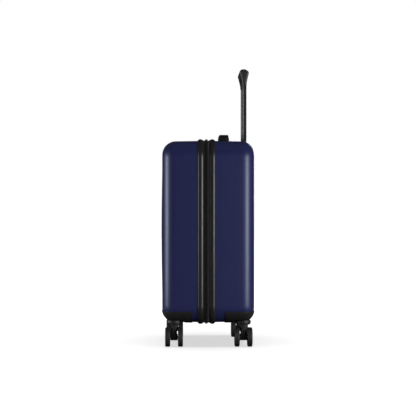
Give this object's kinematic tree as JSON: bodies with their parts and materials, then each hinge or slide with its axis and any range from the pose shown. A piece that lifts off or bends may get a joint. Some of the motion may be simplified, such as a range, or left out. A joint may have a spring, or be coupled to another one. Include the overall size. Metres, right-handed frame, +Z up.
{
  "type": "spinner suitcase",
  "caption": "Cabin-size hard shell suitcase with a zip between its halves, twin-wheel spinner casters, carry handles and a telescopic handle.",
  "frame": {"origin": "on the floor under the middle of the case", "axes": "+Z up along the case's height, -Y out of its front face, +X towards its hinge side"},
  "size_m": [0.3676, 0.25, 0.743],
  "materials": {
    "shell": "deep blue, fine satin gloss",
    "trim": "black, soft sheen",
    "zip": "black woven tape with a nylon coil",
    "lining": "dark grey polyester",
    "plastic": "black, fine grain",
    "tube": "dark anodised",
    "steel": "bright zinc",
    "tyre": "black polyurethane",
    "webbing": "black polyester webbing"
  },
  "bodies": {
    "back_half": {"back_shell": "shell", "back_edge_trim": "trim", "back_zip_tape": "zip", "back_lining": "lining", "hinge_gusset": "zip", "back_packing_straps": "webbing", "handle_socket": "plastic", "handle_base": "plastic", "handle_cover": "plastic", "right_outer_tube": "tube", "left_outer_tube": "tube", "back_right_corner_guard": "plastic", "back_left_corner_guard": "plastic", "top_handle_tray": "plastic", "side_handle_tray": "plastic"},
    "front_half": {"front_shell": "shell", "front_edge_trim": "trim", "front_zip_tape": "zip", "front_lining": "lining", "front_packing_straps": "webbing", "front_right_corner_guard": "plastic", "front_left_corner_guard": "plastic", "lock_housing": "plastic"},
    "handle_stage_1": {"right_middle_tube": "tube", "left_middle_tube": "tube"},
    "handle_stage_2": {"right_inner_tube": "tube", "left_inner_tube": "tube", "right_lock_plug": "plastic", "left_lock_plug": "plastic", "grip_shell": "plastic", "grip_underside": "plastic"},
    "handle_button": {"release_button": "plastic", "right_release_rod": "steel", "left_release_rod": "steel"},
    "top_grip": {"top_carry_grip": "plastic"},
    "side_grip": {"side_carry_grip": "plastic"},
    "lock_release": {"lock_button": "plastic"},
    "front_right_caster": {"front_right_caster_fork": "plastic", "front_right_axle": "steel"},
    "front_right_wheel_a": {"front_right_wheel_a": "tyre"},
    "front_right_wheel_b": {"front_right_wheel_b": "tyre"},
    "front_left_caster": {"front_left_caster_fork": "plastic", "front_left_axle": "steel"},
    "front_left_wheel_a": {"front_left_wheel_a": "tyre"},
    "front_left_wheel_b": {"front_left_wheel_b": "tyre"},
    "back_right_caster": {"back_right_caster_fork": "plastic", "back_right_axle": "steel"},
    "back_right_wheel_a": {"back_right_wheel_a": "tyre"},
    "back_right_wheel_b": {"back_right_wheel_b": "tyre"},
    "back_left_caster": {"back_left_caster_fork": "plastic", "back_left_axle": "steel"},
    "back_left_wheel_a": {"back_left_wheel_a": "tyre"},
    "back_left_wheel_b": {"back_left_wheel_b": "tyre"},
    "lock_dial_1": {"lock_dial_1": "plastic"},
    "lock_dial_2": {"lock_dial_2": "plastic"},
    "lock_dial_3": {"lock_dial_3": "plastic"},
    "upper_slider": {"upper_zip_slider": "steel"},
    "upper_tab": {"upper_pull_tab": "steel"},
    "lower_slider": {"lower_zip_slider": "steel"},
    "lower_tab": {"lower_pull_tab": "steel"}
  },
  "joints": [
    {"name": "front_hinge", "type": "hinge", "parent": "back_half", "child": "front_half", "pos_m": [0.18, -0.004, 0.304], "axis": [0, 0, 1], "range_deg": [0, 180]},
    {"name": "handle_stage_1_slide", "type": "slide", "parent": "back_half", "child": "handle_stage_1", "axis": [0, 0, 1], "range_m": [0, 0.225]},
    {"name": "handle_stage_2_slide", "type": "slide", "parent": "handle_stage_1", "child": "handle_stage_2", "axis": [0, 0, 1], "range_m": [-0.193, 0]},
    {"name": "release_button_press", "type": "slide", "parent": "handle_stage_2", "child": "handle_button", "axis": [0, 0, 1], "range_m": [-0.0025, 0], "stiffness_N_per_m": 600, "springref_m": 0.004},
    {"name": "top_grip_lift", "type": "slide", "parent": "back_half", "child": "top_grip", "axis": [0, 0, 1], "range_m": [0, 0.008], "stiffness_N_per_m": 300, "springref_m": -0.004},
    {"name": "side_grip_lift", "type": "slide", "parent": "back_half", "child": "side_grip", "axis": [-1, 0, 0], "range_m": [0, 0.006], "stiffness_N_per_m": 300, "springref_m": -0.004},
    {"name": "lock_release_press", "type": "slide", "parent": "front_half", "child": "lock_release", "axis": [1, 0, 0], "range_m": [0, 0.0014], "stiffness_N_per_m": 500, "springref_m": -0.002},
    {"name": "front_right_swivel", "type": "hinge", "parent": "front_half", "child": "front_right_caster", "pos_m": [0.131, -0.0895, 0.065], "axis": [0, 0, 1], "continuous": true},
    {"name": "front_right_wheel_a_roll", "type": "hinge", "parent": "front_right_caster", "child": "front_right_wheel_a", "pos_m": [0.147, -0.10635, 0.02538], "axis": [0, 1, 0], "continuous": true},
    {"name": "front_right_wheel_b_roll", "type": "hinge", "parent": "front_right_caster", "child": "front_right_wheel_b", "pos_m": [0.147, -0.07265, 0.02538], "axis": [0, 1, 0], "continuous": true},
    {"name": "front_left_swivel", "type": "hinge", "parent": "front_half", "child": "front_left_caster", "pos_m": [-0.131, -0.0895, 0.065], "axis": [0, 0, 1], "continuous": true},
    {"name": "front_left_wheel_a_roll", "type": "hinge", "parent": "front_left_caster", "child": "front_left_wheel_a", "pos_m": [-0.115, -0.10635, 0.02538], "axis": [0, 1, 0], "continuous": true},
    {"name": "front_left_wheel_b_roll", "type": "hinge", "parent": "front_left_caster", "child": "front_left_wheel_b", "pos_m": [-0.115, -0.07265, 0.02538], "axis": [0, 1, 0], "continuous": true},
    {"name": "back_right_swivel", "type": "hinge", "parent": "back_half", "child": "back_right_caster", "pos_m": [0.131, 0.0938, 0.065], "axis": [0, 0, 1], "continuous": true},
    {"name": "back_right_wheel_a_roll", "type": "hinge", "parent": "back_right_caster", "child": "back_right_wheel_a", "pos_m": [0.147, 0.07695, 0.02538], "axis": [0, 1, 0], "continuous": true},
    {"name": "back_right_wheel_b_roll", "type": "hinge", "parent": "back_right_caster", "child": "back_right_wheel_b", "pos_m": [0.147, 0.11065, 0.02538], "axis": [0, 1, 0], "continuous": true},
    {"name": "back_left_swivel", "type": "hinge", "parent": "back_half", "child": "back_left_caster", "pos_m": [-0.131, 0.0938, 0.065], "axis": [0, 0, 1], "continuous": true},
    {"name": "back_left_wheel_a_roll", "type": "hinge", "parent": "back_left_caster", "child": "back_left_wheel_a", "pos_m": [-0.115, 0.07695, 0.02538], "axis": [0, 1, 0], "continuous": true},
    {"name": "back_left_wheel_b_roll", "type": "hinge", "parent": "back_left_caster", "child": "back_left_wheel_b", "pos_m": [-0.115, 0.11065, 0.02538], "axis": [0, 1, 0], "continuous": true},
    {"name": "lock_dial_1_turn", "type": "hinge", "parent": "front_half", "child": "lock_dial_1", "pos_m": [-0.1727, -0.044, 0.301], "axis": [0, 0, 1], "continuous": true},
    {"name": "lock_dial_2_turn", "type": "hinge", "parent": "front_half", "child": "lock_dial_2", "pos_m": [-0.1727, -0.044, 0.301], "axis": [0, 0, 1], "continuous": true},
    {"name": "lock_dial_3_turn", "type": "hinge", "parent": "front_half", "child": "lock_dial_3", "pos_m": [-0.1727, -0.044, 0.301], "axis": [0, 0, 1], "continuous": true},
    {"name": "upper_slider_run", "type": "slide", "parent": "front_half", "child": "upper_slider", "axis": [0, 0, 1], "range_m": [0, 0.17]},
    {"name": "upper_tab_swing", "type": "hinge", "parent": "upper_slider", "child": "upper_tab", "pos_m": [-0.181, -0.0107, 0.318], "axis": [0, 0, -1], "range_deg": [0, 95]},
    {"name": "lower_slider_run", "type": "slide", "parent": "front_half", "child": "lower_slider", "axis": [0, 0, 1], "range_m": [-0.17, 0]},
    {"name": "lower_tab_swing", "type": "hinge", "parent": "lower_slider", "child": "lower_tab", "pos_m": [-0.181, -0.0107, 0.29], "axis": [0, 0, -1], "range_deg": [0, 95]}
  ]
}
